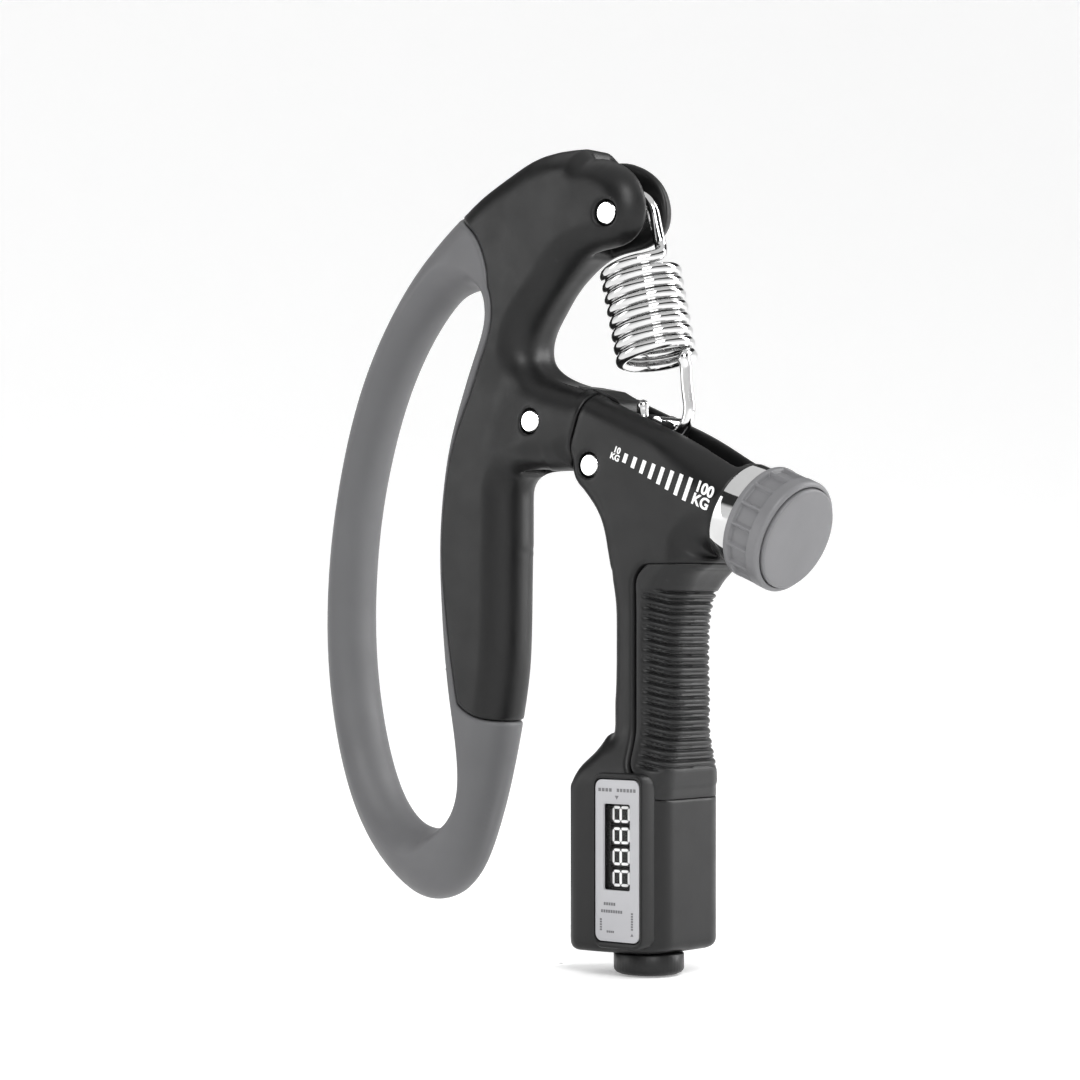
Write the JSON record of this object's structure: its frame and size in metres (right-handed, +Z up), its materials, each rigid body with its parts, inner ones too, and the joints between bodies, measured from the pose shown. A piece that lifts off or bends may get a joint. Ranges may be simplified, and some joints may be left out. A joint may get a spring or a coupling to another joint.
{
  "type": "spring hand grip with counter",
  "caption": "Adjustable spring hand grip for physiotherapy, with a looped palm handle, a pivoting finger handle, an extension spring, a force-setting knob and a mechanical squeeze counter",
  "frame": {"origin": "middle of the box around the whole object at rest, handles open and the slider at the weak end of its scale", "axes": "+Z up along the handles towards the hooked head, +X from the palm loop towards the adjusting knob, +Y from the counter window to the back cover"},
  "size_m": [0.13, 0.028, 0.17],
  "materials": {
    "black_plastic": "satin moulded nylon",
    "grey_soft_rubber": "soft-touch overmould",
    "black_rubber": "matte ribbed rubber",
    "polished_steel": "polished",
    "steel_plate": "zinc plated",
    "bright_chrome": "mirror plated",
    "label_grey": "printed film",
    "clear_window": "clear",
    "knob_grey": "satin",
    "white_print": "pad print",
    "wheel_black": "matt"
  },
  "bodies": {
    "palm_handle": {"palm_core": "black_plastic", "loop_cover": "grey_soft_rubber", "hinge_link": "steel_plate", "spring_bush": "polished_steel", "spring_pin": "polished_steel", "link_pin": "polished_steel"},
    "finger_handle": {"finger_frame": "black_plastic", "grip_sleeve": "black_rubber", "back_cover": "black_plastic", "cover_screws": "steel_plate", "counter_bezel": "black_plastic", "label_plate": "label_grey", "window_lens": "clear_window", "counter_frame": "steel_plate", "arm_collar": "bright_chrome", "scale_marks": "white_print", "pivot_pin": "polished_steel"},
    "knob": {"lead_screw": "polished_steel", "adjust_knob": "knob_grey", "knob_cap": "knob_grey"},
    "slider": {"slider_nut": "black_plastic", "hook_bar": "polished_steel"},
    "reset": {"reset_shaft": "polished_steel", "reset_knob": "black_plastic"},
    "units_digit": {"units_wheel": "wheel_black"},
    "tens_digit": {"tens_wheel": "wheel_black"},
    "hundreds_digit": {"hundreds_wheel": "wheel_black"},
    "thousands_digit": {"thousands_wheel": "wheel_black"},
    "counter_rod": {"count_rod": "polished_steel"},
    "spring": {"spring_coil": "bright_chrome"},
    "spring_middle": {"spring_coil_low": "bright_chrome"},
    "spring_foot": {"spring_hook": "bright_chrome"}
  },
  "joints": [
    {"name": "squeeze", "type": "hinge", "parent": "palm_handle", "child": "finger_handle", "pos_m": [0.0151, 0, 0.0188], "axis": [0, 1, 0], "range_deg": [0, 15], "stiffness_Nm_per_rad": 1.5, "springref_deg": -11.46},
    {"name": "slider_travel", "type": "slide", "parent": "finger_handle", "child": "slider", "axis": [0.9205, 0, -0.3907], "range_m": [0, 0.0174]},
    {"name": "knob_turn", "type": "hinge", "parent": "finger_handle", "child": "knob", "pos_m": [0.061, 0, 0.0029], "axis": [-0.9205, 0, 0.3907], "range_deg": [0, 2525]},
    {"name": "spring_swing", "type": "hinge", "parent": "palm_handle", "child": "spring", "pos_m": [0.0186, 0, 0.0704], "axis": [0, -1, 0], "range_deg": [0, 14.9], "deforming": ["spring_coil"]},
    {"name": "spring_stretch", "type": "slide", "parent": "spring", "child": "spring_middle", "axis": [0.2232, 0, -0.9748], "range_m": [0, 0.0065], "stiffness_N_per_m": 40, "deforming": ["spring_coil_low"]},
    {"name": "spring_preload", "type": "slide", "parent": "spring_middle", "child": "spring_foot", "axis": [0.2232, 0, -0.9748], "range_m": [0, 0.0123], "stiffness_N_per_m": 12, "deforming": ["spring_hook"]},
    {"name": "reset_turn", "type": "hinge", "parent": "finger_handle", "child": "reset", "pos_m": [0.0259, -0.0032, -0.085], "axis": [0, 0, 1], "continuous": true},
    {"name": "units_turn", "type": "hinge", "parent": "finger_handle", "child": "units_digit", "pos_m": [0.0246, -0.0045, -0.06], "axis": [0, 0, 1], "continuous": true},
    {"name": "tens_turn", "type": "hinge", "parent": "finger_handle", "child": "tens_digit", "pos_m": [0.0246, -0.0045, -0.06], "axis": [0, 0, 1], "continuous": true},
    {"name": "hundreds_turn", "type": "hinge", "parent": "finger_handle", "child": "hundreds_digit", "pos_m": [0.0246, -0.0045, -0.06], "axis": [0, 0, 1], "continuous": true},
    {"name": "thousands_turn", "type": "hinge", "parent": "finger_handle", "child": "thousands_digit", "pos_m": [0.0246, -0.0045, -0.06], "axis": [0, 0, 1], "continuous": true},
    {"name": "rod_lift", "type": "slide", "parent": "finger_handle", "child": "counter_rod", "axis": [0, 0, 1], "range_m": [0, 0.0016], "stiffness_N_per_m": 8}
  ],
  "couplings": [
    {"joint": "knob_turn", "follows": "slider_travel", "rad_per_m": 2527.7},
    {"joint": "spring_swing", "follows": "slider_travel", "rad_per_m": 14.488},
    {"joint": "spring_preload", "follows": "slider_travel", "ratio": 0.68896},
    {"joint": "spring_stretch", "follows": "squeeze", "m_per_rad": 0.018924},
    {"joint": "rod_lift", "follows": "squeeze", "m_per_rad": 0.0057296},
    {"joint": "tens_turn", "follows": "units_turn", "ratio": 0.1},
    {"joint": "hundreds_turn", "follows": "units_turn", "ratio": 0.01},
    {"joint": "thousands_turn", "follows": "units_turn", "ratio": 0.001}
  ]
}
